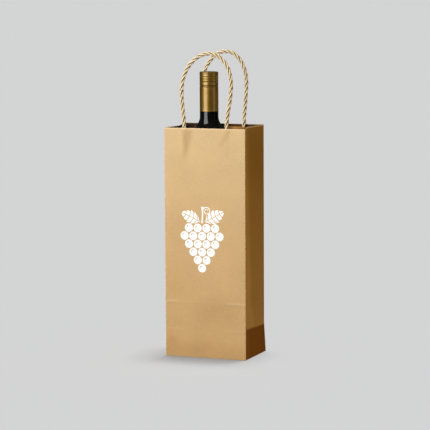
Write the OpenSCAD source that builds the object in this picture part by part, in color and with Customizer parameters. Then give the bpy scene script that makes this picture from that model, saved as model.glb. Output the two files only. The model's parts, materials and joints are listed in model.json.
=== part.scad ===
// Wine gift bag: kraft paper carrier with twisted paper handles, holding one
// screw-capped bottle on a folded card riser.
// Millimetres, +Z up, origin at the centre of the base, front panel facing -Y.

/* [Bag] */
// Width of the front and back panels
bag_w = 130; // [128:1:150]
// Depth of the side gussets
bag_d = 85; // [85:1:96]
// Height of the bag
bag_h = 350; // [345:1:380]
// Thickness of the kraft paper
paper_t = 0.35; // [0.25:0.05:0.5]
// Inward fold of a side gusset at the rim
gusset_in_top = 9.8; // [2:0.2:9.8]
// Inward fold of a side gusset at the base crease of the panels
gusset_in_low = 6; // [1:0.2:6]
// Thickness of the base board
base_board_t = 1.5; // [1:0.25:2]

/* [Handles] */
// Diameter of the twisted paper cord
cord_d = 6.2; // [5:0.2:6.2]
// Half distance between the legs of a handle
leg_x = 34; // [32:1:36]
// Height of a handle above the rim, to the middle of the cord
handle_h = 112; // [105:0.5:120]
// Height above the rim where the arch of a handle begins
arch_start = 60; // [50:1:64]
// Half width of the arch of the front handle
front_arch_x = 39.6; // [37:0.2:42]
// Half width of the arch of the back handle
back_arch_x = 37.8; // [37:0.2:42]
// Lean of the front handle towards the middle of the bag
front_lean = 2.4; // [0:0.2:2.4]
// Lean of the back handle away from the middle of the bag
back_lean = 6; // [5.5:0.5:8]
// Sideways lean of the front handle
front_skew = 6.4; // [0:0.2:7]
// Sideways lean of the back handle
back_skew = 2.4; // [0:0.2:4]
// Length of cord glued in under a patch
cord_end_len = 45; // [30:1:50]
// Width of a handle patch
patch_w = 96; // [84:1:100]
// Height of a handle patch
patch_h = 45; // [40:1:50]

/* [Bottle] */
// Sideways place of the bottle
bottle_x = -9.7; // [-12:0.1:4]
// Place of the bottle from front to back
bottle_y = 4; // [3.5:0.1:4.2]
// Height of the bottle with its cap
bottle_h = 301; // [298:1:303]
// Radius of the body of the bottle
bottle_r = 36.5; // [36:0.1:36.5]
// Radius of the neck of the bottle
neck_r = 14.2; // [14.2:0.05:14.5]
// Thickness of the glass
glass_t = 2.5; // [2:0.5:3.5]

/* [Cap] */
// Length of the cap with its skirt
cap_len = 60; // [56:1:62]
// Length of the part of the cap that unscrews
cap_top_len = 21; // [19:0.5:22]
// Thickness of the cap metal
cap_t = 0.3; // [0.25:0.05:0.4]
// Gap at the break line between the cap and its skirt
break_gap = 0.6; // [0.4:0.1:0.8]

/* [Riser] */
// Height of the riser, from the base board to the bottle
riser_h = 129; // [125:1:130]
// Width of the riser
riser_w = 104; // [96:2:104]
// Depth of the riser
riser_d = 67; // [60:1:67]
// Thickness of the riser card
card_t = 2; // [1.5:0.25:3]

/* [Print] */
// Radius of one grape in the printed motif
grape_r = 6.6; // [5:0.1:6.8]
// Height of the middle of the printed motif
print_z = 180; // [160:1:200]
// Thickness of the printed motif
ink_t = 0.15; // [0.1:0.05:0.3]

/* [Hidden] */
fit = 0.03;                  // gap between faces that are glued or rest on each other
eps = 0.01;
half_w = bag_w / 2;
half_d = bag_d / 2;
gusset_flat_z = half_d;      // below here a gusset lies flat
panel_crease_z = bag_d;      // crease left in the panels by the folded bottom
inner_x = half_w - paper_t - fit;
inner_y = half_d - paper_t - fit;
cord_r = cord_d / 2;
CORD_SIDES = 10;
LEG_RINGS = 10;
ARCH_RINGS = 30;
DOME_ANGLES = [75, 50, 25];   // rings of the round end of a handle
arch_h = handle_h - arch_start;
skew_power = 2.2;            // the sideways lean grows towards the top by this power
cord_root_z = bag_h + 3;     // a handle bends here, just above its glued ends
cord_y = half_d - paper_t - 2 * fit - paper_t - cord_r;
end_gap = 0.15;              // gap between a handle and its glued ends
end_top_z = cord_root_z - cord_r - end_gap;
patch_top = bag_h - 3;
patch_t = 0.4;
floor_z = 3 * (paper_t + fit);
riser_z = floor_z + base_board_t + fit;
deck_z = riser_z + riser_h - card_t;
bottle_z = riser_z + riser_h + fit;
riser_y = 1;
cap_z = bottle_z + bottle_h; // top of the cap
skirt_z = cap_z - cap_len;
break_z = cap_z - cap_top_len;
skin_gap = 0.05;             // gap between the skirt and the glass
finish_r = neck_r - 0.9;     // glass under the part of the cap that turns
liner_t = 1.6;
liner_r = finish_r - 0.9;
neck_end_z = cap_z - 72;     // the straight neck ends here
shoulder_z = cap_z - 111;    // the body of the bottle ends here
SHOULDER_STEPS = 12;
foot_r = 3;                  // rounding round the base of the bottle
punt_h = 20;                 // the base of the bottle is pushed in by this much
punt_r = 0.72 * bottle_r;
bore_r = 9.3;                // inside of the neck
inner_floor = 5;             // thickness of the base of the bottle at its edge
inner_foot_r = 3;            // chamfer round the inside of the base
inner_punt = [0.8, 24];      // inside of the punt: share of the radius, height
label_t = 0.15;
grape_gap = 0.9;             // gap between two grapes of the printed motif
top_row_y = 18;              // the motif, above its own middle: its top row of grapes,
leaf_y = 34;                 // and its leaves
leaf_l = 34;
stem_w = 2.4;
stem_l = 24;
wine_gap = 0.05;
wine_top_z = cap_z - 63;

PAPER = [0.75, 0.57, 0.36];
PAPER_INSIDE = [0.66, 0.48, 0.29];
CORD = [0.85, 0.71, 0.48];
CARD = [0.60, 0.45, 0.29];
GLASS = [0.03, 0.04, 0.03];
WINE = [0.25, 0.02, 0.05];
GOLD = [0.56, 0.43, 0.19];
INK = [1.0, 1.0, 0.98];
LABEL = [0.93, 0.91, 0.85];
LINER = [0.92, 0.92, 0.90];

// ---- bag -------------------------------------------------------------------

// A flat sheet of paper standing in the XZ plane, its outer face at y
module upright_sheet(width, height, y) {
    translate([-width / 2, y, 0]) cube([width, paper_t, height]);
}

module front_panel() {
    color(PAPER) upright_sheet(bag_w, bag_h, -half_d);
}

module back_panel() {
    color(PAPER) upright_sheet(bag_w, bag_h, half_d - paper_t);
}

// Rows of a gusset from the base to the rim: [height, depth of the middle fold]
gusset_rows = [
    [0, 0], [gusset_flat_z, 0], [panel_crease_z, gusset_in_low], [bag_h, gusset_in_top]
];

// Corners of one face of a gusset, offset inwards by t
function gusset_face(t) = [
    for (row = gusset_rows, y = [-inner_y, 0, inner_y])
        [half_w - t - (y == 0 ? row[1] : 0), y, row[0]]
];

// The right side of the bag, folded inwards along its middle
module gusset() {
    rows = len(gusset_rows);
    n = 3 * rows;
    outer = [for (r = [0:rows - 2], c = [0, 1]) let (a = 3 * r + c)
        each [[a, a + 4, a + 1], [a, a + 3, a + 4]]];
    inner = [for (f = outer) [f[0] + n, f[2] + n, f[1] + n]];
    front = [for (r = [0:rows - 2]) let (a = 3 * r)
        each [[a, a + n, a + n + 3], [a, a + n + 3, a + 3]]];
    back = [for (r = [0:rows - 2]) let (a = 3 * r + 2)
        each [[a, a + n + 3, a + n], [a, a + 3, a + n + 3]]];
    foot = [for (c = [0, 1]) each [[c, c + 1, c + 1 + n], [c, c + 1 + n, c + n]]];
    k = n - 3;
    rim = [for (c = [k, k + 1]) each [[c, c + 1 + n, c + 1], [c, c + n, c + 1 + n]]];
    polyhedron(
        points = concat(gusset_face(0), gusset_face(paper_t)),
        faces = concat(outer, inner, front, back, foot, rim)
    );
}

module right_gusset() {
    color(PAPER) gusset();
}

module left_gusset() {
    color(PAPER) mirror([1, 0, 0]) gusset();
}

// The glued overlap that closes the tube of paper, inside the back panel
module side_seam_lap() {
    lap_w = 14;
    lap_z = 8;
    color(PAPER_INSIDE)
        translate([-inner_x + 0.5, inner_y - paper_t, lap_z])
            cube([lap_w, paper_t, patch_top - patch_h - 2 * lap_z]);
}

// Layer n of the folded bottom, counted up from the outside
module bottom_layer(n) {
    translate([0, 0, n * (paper_t + fit)]) linear_extrude(paper_t) children();
}

module bottom_front_flap() {
    overlap = 12;
    cut = 10;
    color(PAPER) bottom_layer(0)
        polygon([
            [-inner_x, -inner_y], [inner_x, -inner_y], [inner_x, -2], [inner_x - cut, overlap],
            [cut - inner_x, overlap], [-inner_x, -2]
        ]);
}

module bottom_rear_flap() {
    overlap = 14;
    cut = 10;
    color(PAPER_INSIDE) bottom_layer(1)
        polygon([
            [-inner_x, inner_y], [inner_x, inner_y], [inner_x, 0], [inner_x - cut, -overlap],
            [cut - inner_x, -overlap], [-inner_x, 0]
        ]);
}

module bottom_side_flaps() {
    color(PAPER_INSIDE) bottom_layer(2)
        for (side = [-1, 1])
            scale([side, 1])
                polygon([
                    [inner_x, -inner_y], [inner_x, inner_y], [inner_x - half_d, 6],
                    [inner_x - half_d, -6]
                ]);
}

module base_board() {
    margin = 1;
    corner = 3;
    w = 2 * (inner_x - margin - corner);
    d = 2 * (inner_y - margin - corner);
    color(CARD) translate([0, 0, floor_z])
        linear_extrude(base_board_t)
            difference() {
                square([w + 2 * corner, d + 2 * corner], center = true);
                for (x = [-1, 1], y = [-1, 1])
                    translate([x * (w / 2 + corner), y * (d / 2 + corner)])
                        rotate(45) square(corner * sqrt(2), center = true);
            }
}

// ---- handles ---------------------------------------------------------------

// Half width of a leg at height z above the rim, where it swings out to meet the arch
function leg_half_width(z, arch_x) =
    leg_x + (arch_x - leg_x) * (1 - cos(180 * max(z, 0) / arch_start)) / 2;

// Centre line of a handle as [x, height above the rim], from left to right
function handle_outline(arch_x) =
    let (root = cord_root_z - bag_h)
    concat(
        [for (i = [0:LEG_RINGS - 1])
            let (z = root + (arch_start - root) * i / LEG_RINGS) [-leg_half_width(z, arch_x), z]],
        [for (i = [0:ARCH_RINGS])
            let (a = 180 - 180 * i / ARCH_RINGS)
            [arch_x * cos(a), arch_start + arch_h * sin(a)]],
        [for (i = [LEG_RINGS - 1:-1:0])
            let (z = root + (arch_start - root) * i / LEG_RINGS) [leg_half_width(z, arch_x), z]]
    );

// The outline placed in space: side is -1 at the front and 1 at the back
function handle_path(side, arch_x, lean, skew) = [
    for (p = handle_outline(arch_x))
        let (up = max(0, p[1] - cord_root_z + bag_h) / handle_h)
        [p[0] + skew * pow(up, skew_power), side * cord_y + lean * up, bag_h + p[1]]
];

function unit(v) = v / norm(v);

// Direction of a path at point i; both ends point straight along Z
function path_dir(path, i) =
    i == 0 ? [0, 0, 1] :
    i == len(path) - 1 ? [0, 0, -1] :
    unit(path[i + 1] - path[i - 1]);

// A ring of radius r round the direction d, with its first axis kept near Y
function ring(centre, d, r) =
    let (v = unit([0, 1, 0] - d[1] * d), u = cross(v, d))
    [for (k = [0:CORD_SIDES - 1])
        let (a = 360 * k / CORD_SIDES) centre + r * (cos(a) * v + sin(a) * u)];

// Rings that close a cord with a round end: way is -1 before the path and 1 after it
function dome(centre, d, way, angles) = [
    for (a = angles) ring(centre + way * cord_r * sin(a) * d, d, cord_r * cos(a))
];

// A round cord swept along a path, with round ends
module cord_tube(path) {
    last = len(path) - 1;
    tube = concat(
        dome(path[0], path_dir(path, 0), -1, DOME_ANGLES),
        [for (i = [0:last]) ring(path[i], path_dir(path, i), cord_r)],
        dome(path[last], path_dir(path, last), 1, [for (a = [2:-1:0]) DOME_ANGLES[a]])
    );
    rings = len(tube);
    n = CORD_SIDES;
    points = [for (r = tube) each r];
    skin = [for (i = [0:rings - 2], k = [0:n - 1])
        let (a = i * n + k, b = i * n + (k + 1) % n)
        each [[a, b + n, b], [a, a + n, b + n]]];
    ends = [[for (k = [0:n - 1]) k], [for (k = [n - 1:-1:0]) (rings - 1) * n + k]];
    polyhedron(points = points, faces = concat(skin, ends));
}

module front_handle_loop() {
    color(CORD) cord_tube(handle_path(-1, front_arch_x, front_lean, front_skew));
}

module back_handle_loop() {
    color(CORD) cord_tube(handle_path(1, back_arch_x, back_lean, back_skew));
}

// The two glued ends of a handle, up to just below the point where it bends
module cord_ends(side) {
    for (x = [-leg_x, leg_x])
        translate([x, side * cord_y, patch_top - cord_end_len])
            cylinder(r = cord_r, h = end_top_z - patch_top + cord_end_len, $fn = 48);
}

module front_handle_ends() {
    color(CORD) cord_ends(-1);
}

module back_handle_ends() {
    color(CORD) cord_ends(1);
}

// The strip of paper between the panel and the cord ends, seen from inside
module handle_backing(side) {
    y = side * (inner_y - paper_t / 2);
    translate([0, y, patch_top - patch_h / 2]) cube([patch_w, paper_t, patch_h], center = true);
}

module front_handle_backing() {
    color(PAPER_INSIDE) handle_backing(-1);
}

module back_handle_backing() {
    color(PAPER_INSIDE) handle_backing(1);
}

// Section of a patch that lies flat and rises over both cord ends
module patch_section() {
    base = inner_y - paper_t - fit;
    over = cord_r + fit;
    difference() {
        union() {
            translate([-patch_w / 2, base - patch_t]) square([patch_w, patch_t]);
            for (x = [-leg_x, leg_x])
                translate([x, cord_y]) circle(r = over + patch_t, $fn = 48);
            for (x = [-leg_x, leg_x])
                translate([x - over - patch_t, cord_y])
                    square([2 * (over + patch_t), base - cord_y]);
        }
        for (x = [-leg_x, leg_x]) {
            translate([x, cord_y]) circle(r = over, $fn = 48);
            translate([x - over, cord_y]) square([2 * over, base - cord_y + 1]);
        }
        translate([-patch_w, base]) square([2 * patch_w, 2 * cord_r]);
    }
}

module handle_patch() {
    translate([0, 0, patch_top - patch_h]) linear_extrude(patch_h) patch_section();
}

module back_handle_patch() {
    color(PAPER_INSIDE) handle_patch();
}

module front_handle_patch() {
    color(PAPER_INSIDE) mirror([0, 1, 0]) handle_patch();
}

// ---- print -----------------------------------------------------------------

// One leaf of the motif: two arcs that meet in points
module leaf(length, width) {
    r = (length * length / 4 + width * width / 4) / width;
    intersection() {
        translate([0, r - width / 2]) circle(r = r, $fn = 64);
        translate([0, width / 2 - r]) circle(r = r, $fn = 64);
    }
}

// A bunch of grapes under two leaves, drawn about its own middle
module grape_bunch() {
    rows = [4, 5, 4, 3, 2, 1];   // grapes in each row, from the top
    pitch = 2 * grape_r + grape_gap;
    row_h = pitch * sqrt(3) / 2;
    for (r = [0:len(rows) - 1], c = [0:rows[r] - 1])
        translate([(c - (rows[r] - 1) / 2) * pitch, top_row_y - r * row_h])
            circle(r = grape_r, $fn = 40);
    translate([-17, leaf_y]) rotate(-24) leaf(leaf_l, leaf_l / 2);
    translate([19, leaf_y + 1]) rotate(28) leaf(leaf_l + 2, leaf_l / 2 + 1);
    translate([-stem_w / 2, top_row_y + 9]) square([stem_w, stem_l]);
}

module print_motif() {
    motif_x = -4.5;
    color(INK)
        translate([motif_x, -half_d - fit, print_z + 1])
            rotate([90, 0, 0]) linear_extrude(ink_t) grape_bunch();
}

// ---- riser -----------------------------------------------------------------

cross_h = riser_h - card_t - fit;
slot_w = card_t + 0.1;

module riser_cross_long() {
    color(CARD) translate([0, riser_y, riser_z])
        difference() {
            translate([-riser_w / 2, -card_t / 2, 0]) cube([riser_w, card_t, cross_h]);
            translate([-slot_w / 2, -card_t, cross_h / 2]) cube([slot_w, 2 * card_t, cross_h]);
        }
}

module riser_cross_short() {
    color(CARD) translate([0, riser_y, riser_z])
        difference() {
            translate([-card_t / 2, -riser_d / 2, 0]) cube([card_t, riser_d, cross_h]);
            translate([-card_t, -slot_w / 2, -cross_h / 2 - 2 * fit])
                cube([2 * card_t, slot_w, cross_h]);
        }
}

module riser_deck() {
    finger_r = 9;
    color(CARD) translate([0, riser_y, deck_z])
        linear_extrude(card_t)
            difference() {
                square([riser_w, riser_d], center = true);
                for (x = [-1, 1]) translate([x * riser_w / 2, 0]) circle(r = finger_r, $fn = 48);
            }
}

// ---- bottle and cap --------------------------------------------------------

module on_bottle_axis() {
    translate([bottle_x, bottle_y, 0]) children();
}

// Shoulder of the bottle as [radius, height], from the body up to the neck:
// one half wave, so that it runs smoothly into both
function shoulder(r_neck, r_body) = [
    for (i = [0:SHOULDER_STEPS])
        let (t = i / SHOULDER_STEPS)
        [r_neck + (r_body - r_neck) * (1 + cos(180 * t)) / 2,
         shoulder_z + (neck_end_z - shoulder_z) * t]
];

// Half section of the solid outside of the bottle
module bottle_outside() {
    foot = [for (a = [-90:18:0])
        [bottle_r - foot_r + foot_r * cos(a), bottle_z + foot_r + foot_r * sin(a)]];
    polygon(concat(
        [[0, bottle_z]], foot, shoulder(neck_r, bottle_r),
        [[neck_r, skirt_z + eps], [neck_r - cap_t - skin_gap, skirt_z - eps],
         [neck_r - cap_t - skin_gap, break_z - break_gap],
         [finish_r, break_z - break_gap + eps], [finish_r, cap_z - cap_t - liner_t - 2 * fit],
         [0, cap_z - cap_t - liner_t - 2 * fit]]
    ));
}

// Half section of the hollow of the bottle, drawn in by gap
module bottle_inside(gap, top_z) {
    body_r = bottle_r - glass_t - gap;
    low = bottle_z + inner_floor + gap;
    punt = [for (t = [0:0.2:1]) [body_r * inner_punt[0] * t, low + inner_punt[1] * (1 - t * t)]];
    side = [for (p = shoulder(bore_r - gap, body_r)) if (p[1] < top_z) p];
    polygon(concat(
        punt, [[body_r - inner_foot_r, low], [body_r, low + inner_foot_r]], side,
        [[bore_r - gap, top_z], [0, top_z]]
    ));
}

module bottle_glass() {
    color(GLASS) on_bottle_axis()
        rotate_extrude($fn = 96)
            difference() {
                bottle_outside();
                bottle_inside(0, cap_z);
                polygon([
                    [0, bottle_z - 1],
                    for (t = [0:0.2:1]) [punt_r * t, bottle_z + punt_h * (1 - t * t) - eps]
                ]);
            }
}

module wine_fill() {
    color(WINE) on_bottle_axis() rotate_extrude($fn = 96) bottle_inside(wine_gap, wine_top_z);
}

// Thin round skin of metal with a rolled edge at its foot
module cap_skirt() {
    lip_h = 0.8;
    lip_out = 0.25;
    color(GOLD) on_bottle_axis()
        rotate_extrude($fn = 96) {
            translate([neck_r - cap_t, skirt_z]) square([cap_t, cap_len - cap_top_len - break_gap]);
            translate([neck_r - cap_t, skirt_z]) square([cap_t + lip_out, lip_h]);
        }
}

// The cap: a closed top with three rolled grooves in its wall
module cap_shell() {
    edge_r = 1.6;
    grooves = [9.3, 13, 17];
    groove_h = 1.2;
    groove_in = 0.35;
    wall_in = neck_r - cap_t - groove_in;
    top = [for (a = [0:15:90])
        [neck_r - edge_r + edge_r * cos(a), cap_z - edge_r + edge_r * sin(a)]];
    wall = [for (i = [len(grooves) - 1:-1:0])
        let (z = cap_z - grooves[i])
        each [[neck_r, z - groove_h], [neck_r - groove_in, z - groove_h / 3],
              [neck_r - groove_in, z + groove_h / 3], [neck_r, z + groove_h]]];
    color(GOLD) on_bottle_axis()
        rotate_extrude($fn = 96)
            difference() {
                polygon(concat([[0, break_z], [neck_r, break_z]], wall, top, [[0, cap_z]]));
                polygon([
                    [0, break_z - 1], [wall_in, break_z - 1], [wall_in, cap_z - edge_r],
                    [wall_in - 0.9, cap_z - cap_t], [0, cap_z - cap_t]
                ]);
            }
}

module cap_liner() {
    color(LINER) on_bottle_axis()
        translate([0, 0, cap_z - cap_t - liner_t - fit])
            cylinder(r = liner_r, h = liner_t, $fn = 96);
}

// A label wrapped round the body of the bottle, centred at angle a0
module bottle_label(a0, span, low, high) {
    color(LABEL) on_bottle_axis()
        translate([0, 0, low])
            rotate(a0 - span / 2)
                rotate_extrude(angle = span, $fn = 96)
                    translate([bottle_r + fit, 0]) square([label_t, high - low]);
}

module bottle_front_label() {
    bottle_label(-90, 130, bottle_z + 40, bottle_z + 130);
}

module bottle_back_label() {
    bottle_label(90, 90, bottle_z + 50, bottle_z + 120);
}

// ---- nodes -----------------------------------------------------------------

front_panel();
back_panel();
left_gusset();
right_gusset();
side_seam_lap();
bottom_side_flaps();
bottom_rear_flap();
bottom_front_flap();
base_board();
front_handle_backing();
back_handle_backing();
front_handle_patch();
back_handle_patch();
front_handle_ends();
back_handle_ends();
front_handle_loop();
back_handle_loop();
print_motif();
riser_cross_long();
riser_cross_short();
riser_deck();
bottle_glass();
wine_fill();
cap_skirt();
bottle_front_label();
bottle_back_label();
cap_liner();
cap_shell();
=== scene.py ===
"""Looks of the wine gift bag: a kraft paper bag with twisted paper handles, and the bottle in it.

Everything is in metres in the CAD model's frame: +Z up, front panel facing -Y. Most sizes come from the
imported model.
"""

import json
import math

import bpy
import numpy as np
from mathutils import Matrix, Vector, noise


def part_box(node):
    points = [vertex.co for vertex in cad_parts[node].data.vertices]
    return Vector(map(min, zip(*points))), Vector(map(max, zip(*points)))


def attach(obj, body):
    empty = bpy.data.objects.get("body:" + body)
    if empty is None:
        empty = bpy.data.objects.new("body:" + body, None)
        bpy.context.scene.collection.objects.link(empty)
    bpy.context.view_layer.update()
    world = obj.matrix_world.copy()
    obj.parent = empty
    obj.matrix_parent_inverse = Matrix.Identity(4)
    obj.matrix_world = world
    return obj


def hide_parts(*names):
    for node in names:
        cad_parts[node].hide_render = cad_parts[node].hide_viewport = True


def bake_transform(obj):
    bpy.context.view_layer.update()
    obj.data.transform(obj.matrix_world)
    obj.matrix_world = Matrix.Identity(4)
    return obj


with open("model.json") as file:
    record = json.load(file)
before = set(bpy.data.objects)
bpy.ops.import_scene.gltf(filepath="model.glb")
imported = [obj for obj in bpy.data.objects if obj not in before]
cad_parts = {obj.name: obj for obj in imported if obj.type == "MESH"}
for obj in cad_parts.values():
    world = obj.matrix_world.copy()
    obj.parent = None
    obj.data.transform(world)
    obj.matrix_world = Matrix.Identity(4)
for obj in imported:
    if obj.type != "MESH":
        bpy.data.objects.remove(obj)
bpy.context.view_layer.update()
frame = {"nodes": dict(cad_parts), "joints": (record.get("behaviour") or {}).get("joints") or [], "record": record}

MM = 0.001


# ---- sizes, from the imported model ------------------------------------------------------

def joint(name):
    """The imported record's entry for one joint."""
    return next(j for j in frame["joints"] if j["name"] == name)


def mount_height(name):
    """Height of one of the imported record's mounts."""
    return next(m["pos_m"][2] for m in frame["record"]["mounts"] if m["name"] == name)


HALF_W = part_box("front_panel")[1].x
HALF_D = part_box("back_panel")[1].y
BAG_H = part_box("front_panel")[1].z
PAPER_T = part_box("front_panel")[1].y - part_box("front_panel")[0].y
GUSSET_FLAT_Z = HALF_D           # below here a gusset lies flat
CREASE_Z = 2 * HALF_D            # crease across the front and back panels
GUSSET_IN_TOP = HALF_W - PAPER_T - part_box("right_gusset")[0].x
GUSSET_IN_LOW = 6 * MM           # inward fold at the height of the panel crease

ends_low, ends_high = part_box("back_handle_ends")
CORD_R = (ends_high.y - ends_low.y) / 2
LEG_X = ends_high.x - CORD_R
CORD_Y = ends_high.y - CORD_R
CORD_END_Z = ends_low.z
PIVOT_Z = joint("back_handle_fold")["pos_m"][2]
HANDLE_H = mount_height("back_grip") + CORD_R - BAG_H     # to the middle of the cord
ARCH_START = 60 * MM             # height above the rim where the arch of a handle begins
SKEW_POWER = 2.2                 # the sideways lean of a handle grows towards its top by this power

glass_low, glass_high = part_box("bottle_glass")
BOTTLE_AXIS = (glass_low + glass_high) / 2
BOTTLE_R = (glass_high.x - glass_low.x) / 2
cap_low, cap_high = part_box("cap_shell")
CAP_R = (cap_high.x - cap_low.x) / 2
CAP_TOP = cap_high.z
SKIRT_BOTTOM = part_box("cap_skirt")[0].z
SKIRT_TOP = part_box("cap_skirt")[1].z


# ---- camera, light and floor -----------------------------------------------------------

def direction(azimuth, elevation):
    """A direction from the object, in degrees. Azimuth 0 is in front and 90 to the right."""
    a, e = math.radians(azimuth), math.radians(elevation)
    return Vector((math.sin(a) * math.cos(e), -math.cos(a) * math.cos(e), math.sin(e)))


def make_camera():
    """A long lens, a little above and to the right of the front."""
    back = direction(20.52, 7.006)
    data = bpy.data.cameras.new("camera")
    data.lens = 172.05
    data.sensor_width = 36
    data.clip_end = 500
    camera = bpy.data.objects.new("camera", data)
    bpy.context.scene.collection.objects.link(camera)
    camera.location = Vector((0.0005, 0, 0.2142)) + back * 3.14
    camera.rotation_euler = back.to_track_quat("Z", "Y").to_euler()
    camera.rotation_euler.rotate_axis("Z", math.radians(-0.285))
    bpy.context.scene.camera = camera


make_camera()
bpy.context.scene.view_settings.view_transform = "Standard"


def srgb(red, green, blue):
    """A linear colour from 0 to 255 display values."""
    def linear(v):
        v /= 255
        return v / 12.92 if v <= 0.04045 else ((v + 0.055) / 1.055) ** 2.4
    return (linear(red), linear(green), linear(blue), 1.0)


STUDIO_GREY = srgb(212, 212, 212)


def camera_or_other(tree, seen, other, output):
    """Shows the shader seen to the camera, and lights the object with the shader other."""
    mix = tree.nodes.new("ShaderNodeMixShader")
    path = tree.nodes.new("ShaderNodeLightPath")
    tree.links.new(path.outputs["Is Camera Ray"], mix.inputs[0])
    tree.links.new(other, mix.inputs[1])
    tree.links.new(seen, mix.inputs[2])
    tree.links.new(mix.outputs[0], output.inputs[0])


def make_world():
    """A dim dome, brighter overhead, shown to the camera as plain grey."""
    world = bpy.data.worlds.new("studio")
    bpy.context.scene.world = world
    world.use_nodes = True
    tree = world.node_tree
    tree.nodes.clear()
    out = tree.nodes.new("ShaderNodeOutputWorld")
    dome = tree.nodes.new("ShaderNodeBackground")
    plain = tree.nodes.new("ShaderNodeBackground")
    plain.inputs["Color"].default_value = STUDIO_GREY
    coords = tree.nodes.new("ShaderNodeTexCoord")
    split = tree.nodes.new("ShaderNodeSeparateXYZ")
    ramp = tree.nodes.new("ShaderNodeValToRGB")
    ramp.color_ramp.elements[0].position = 0.0
    ramp.color_ramp.elements[0].color = (0.040, 0.029, 0.012, 1)
    ramp.color_ramp.elements[1].position = 0.9
    ramp.color_ramp.elements[1].color = (0.20, 0.195, 0.18, 1)
    tree.links.new(coords.outputs["Generated"], split.inputs[0])
    tree.links.new(split.outputs["Z"], ramp.inputs[0])
    tree.links.new(ramp.outputs[0], dome.inputs["Color"])
    camera_or_other(tree, plain.outputs[0], dome.outputs[0], out)


def make_floor():
    """A wide pale floor, which returns less light to the object than it shows."""
    half = 200.0
    corners = [(-half, -half, 0), (half, -half, 0), (half, half, 0), (-half, half, 0)]
    mesh = bpy.data.meshes.new("floor")
    mesh.from_pydata(corners, [], [(0, 1, 2, 3)])
    floor = bpy.data.objects.new("floor", mesh)
    bpy.context.scene.collection.objects.link(floor)
    mat = bpy.data.materials.new("floor")
    mat.use_nodes = True
    tree = mat.node_tree
    tree.nodes.clear()
    out = tree.nodes.new("ShaderNodeOutputMaterial")
    lit = tree.nodes.new("ShaderNodeBsdfDiffuse")
    lit.inputs["Color"].default_value = (0.20, 0.202, 0.205, 1)
    glow = tree.nodes.new("ShaderNodeEmission")
    glow.inputs["Color"].default_value = (0.275, 0.275, 0.275, 1)
    shown = tree.nodes.new("ShaderNodeAddShader")
    bounced = tree.nodes.new("ShaderNodeBsdfDiffuse")
    bounced.inputs["Color"].default_value = (0.035, 0.024, 0.012, 1)
    tree.links.new(lit.outputs[0], shown.inputs[0])
    tree.links.new(glow.outputs[0], shown.inputs[1])
    camera_or_other(tree, shown.outputs[0], bounced.outputs[0], out)
    mesh.materials.append(mat)
    return floor


def place_light(data, way, distance, aim_z):
    """A light at a distance in one direction, aimed at a height on the object's axis."""
    light = bpy.data.objects.new(data.name, data)
    bpy.context.scene.collection.objects.link(light)
    light.location = Vector((0, 0, aim_z)) + way * distance
    light.rotation_euler = way.to_track_quat("Z", "Y").to_euler()
    return light


def soft_box(name, way, size, power, colour, aim_z=0.25, distance=1.5):
    """A soft box aimed at the object."""
    data = bpy.data.lights.new(name, "AREA")
    data.shape = "RECTANGLE"
    data.size, data.size_y = size
    data.energy = power
    data.color = colour
    return place_light(data, way, distance, aim_z)


def linked_group(name, pieces, state):
    """A light group of pieces, which it takes in (INCLUDE) or leaves out (EXCLUDE)."""
    group = bpy.data.collections.new(name)
    for piece in pieces:
        group.objects.link(piece)
    for entry in group.collection_objects:
        entry.light_linking.link_state = state
    return group


def light_only(light, pieces):
    """Makes a light reach these pieces alone."""
    light.light_linking.receiver_collection = linked_group(light.name + "_on", pieces, "INCLUDE")


def light_all_but(light, pieces):
    """Makes a light reach everything but these pieces."""
    light.light_linking.receiver_collection = linked_group(light.name + "_off", pieces, "EXCLUDE")


def no_shadow_of(light, pieces):
    """Makes these pieces cast no shadow in a light."""
    light.light_linking.blocker_collection = linked_group(light.name + "_past", pieces, "EXCLUDE")


make_world()
floor = make_floor()


# ---- mesh helpers ----------------------------------------------------------------------

def add_mesh(name, points, faces, smooth=True):
    """A new object from points and faces, in place."""
    mesh = bpy.data.meshes.new(name)
    mesh.from_pydata([tuple(p) for p in points], [], faces)
    mesh.validate()
    mesh.update()
    mesh.polygons.foreach_set("use_smooth", [smooth] * len(mesh.polygons))
    piece = bpy.data.objects.new(name, mesh)
    bpy.context.scene.collection.objects.link(piece)
    return piece


def grid_faces(rows, columns, closed=False, start=0):
    """Quads between rows of points; closed joins each row's last point to its first."""
    last = columns if closed else columns - 1
    return [
        (start + r * columns + c, start + r * columns + (c + 1) % columns,
         start + (r + 1) * columns + (c + 1) % columns, start + (r + 1) * columns + c)
        for r in range(rows - 1) for c in range(last)
    ]


def add_attribute(piece, name, values):
    """A number at each point of a mesh, for its material to read."""
    attribute = piece.data.attributes.new(name, "FLOAT", "POINT")
    attribute.data.foreach_set("value", np.asarray(values, np.float32))


def shell(face, back, closed=False):
    """Points and faces of a closed sheet between two grids of points. Its face looks along the cross
    product of a grid's second direction with its first."""
    rows, columns = face.shape[:2]
    count = rows * columns
    faces = grid_faces(rows, columns, closed)
    faces += [tuple(count + i for i in reversed(f)) for f in faces]
    top = (rows - 1) * columns
    for c in range(columns if closed else columns - 1):
        d = (c + 1) % columns
        faces.append((d, c, count + c, count + d))
        faces.append((top + c, top + d, count + top + d, count + top + c))
    if not closed:
        last = columns - 1
        for low in range(0, top, columns):
            up = low + columns
            faces.append((low, up, count + up, count + low))
            faces.append((up + last, low + last, count + low + last, count + up + last))
    return np.concatenate([face.reshape(-1, 3), back.reshape(-1, 3)]), faces


def behind(face, thickness, closed=False):
    """The grid of points that lies a thickness behind a grid."""
    first = np.gradient(face, axis=0)
    if closed:
        second = np.roll(face, -1, axis=1) - np.roll(face, 1, axis=1)
    else:
        second = np.gradient(face, axis=1)
    normal = np.cross(second, first)
    return face - thickness * normal / np.linalg.norm(normal, axis=2)[:, :, None]


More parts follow.
